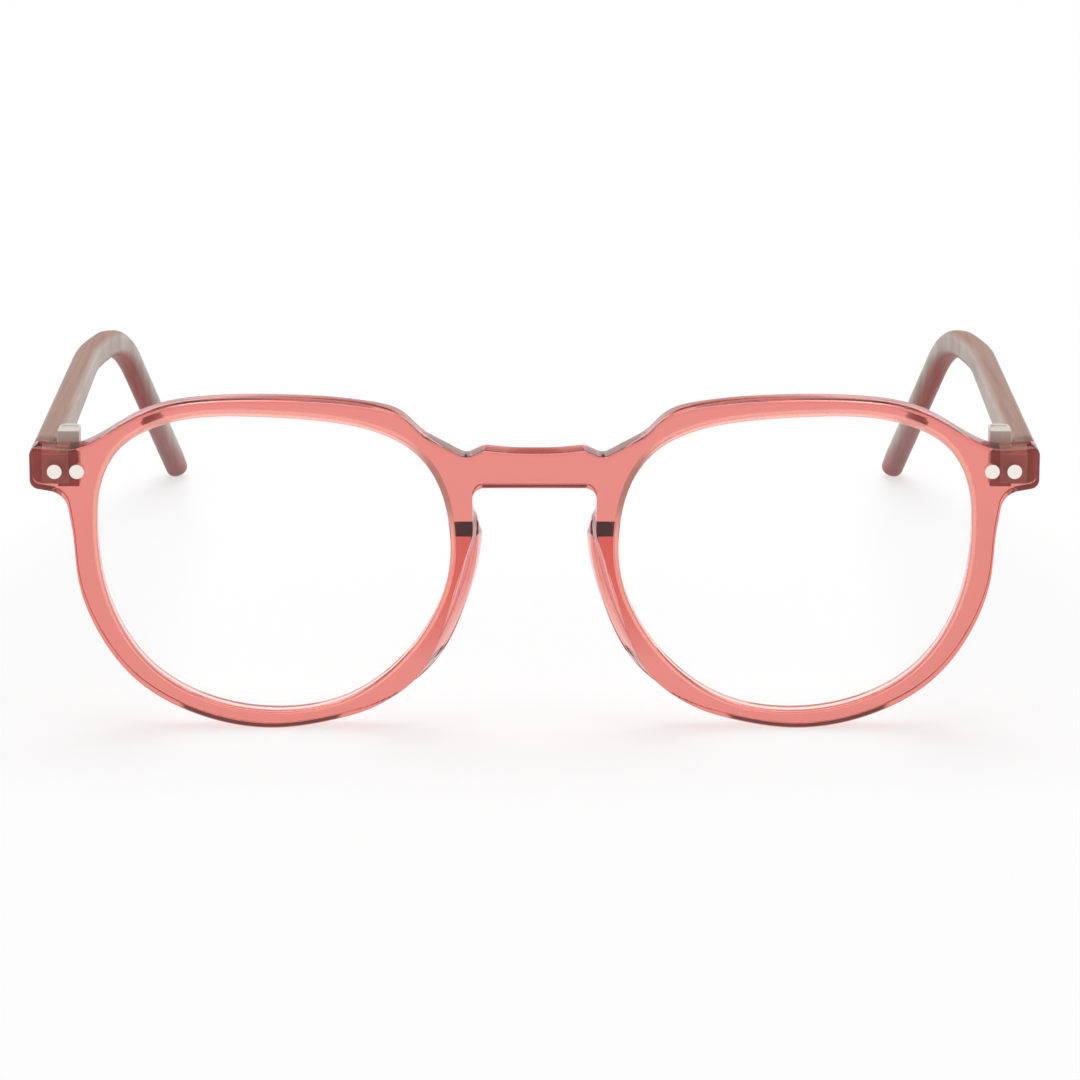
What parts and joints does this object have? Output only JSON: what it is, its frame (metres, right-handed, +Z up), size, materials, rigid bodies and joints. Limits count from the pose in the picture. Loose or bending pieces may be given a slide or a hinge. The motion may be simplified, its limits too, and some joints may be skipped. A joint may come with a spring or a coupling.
{
  "type": "eyeglasses",
  "caption": "Clear tinted full-rim eyeglasses with panto lenses, keyhole bridge, built-up nose pads, riveted barrel hinges and folding temples that bend down behind the ears",
  "frame": {"origin": "on the ground, in the middle of the footprint: halfway between the temples, and halfway between the front's face and the temple tips", "axes": "+X towards the wearer's left temple, +Y from the front back to the wearer's ears, +Z up"},
  "size_m": [0.1392, 0.1396, 0.0467],
  "materials": {
    "acetate": "polished see-through rose acetate",
    "lens": "clear polished lens",
    "pin": "polished bright metal",
    "hinge": "satin nickel alloy",
    "core": "dull drawn wire"
  },
  "bodies": {
    "frame_front": {"front": "acetate", "lens_left": "lens", "nose_pad_left": "acetate", "outer_pin_left": "pin", "inner_pin_left": "pin", "front_hinge_leaf_left": "hinge", "hinge_screw_left": "hinge", "lens_right": "lens", "nose_pad_right": "acetate", "outer_pin_right": "pin", "inner_pin_right": "pin", "front_hinge_leaf_right": "hinge", "hinge_screw_right": "hinge"},
    "arm_left": {"temple_left": "acetate", "temple_core_left": "core", "temple_hinge_leaf_left": "hinge"},
    "arm_right": {"temple_right": "acetate", "temple_core_right": "core", "temple_hinge_leaf_right": "hinge"}
  },
  "joints": [
    {"name": "hinge_left", "type": "hinge", "parent": "frame_front", "child": "arm_left", "pos_m": [0.06392, -0.06283, 0.03765], "axis": [0, 0, 1], "range_deg": [0, 88]},
    {"name": "hinge_right", "type": "hinge", "parent": "frame_front", "child": "arm_right", "pos_m": [-0.06392, -0.06283, 0.03765], "axis": [0, 0, -1], "range_deg": [0, 79]}
  ]
}
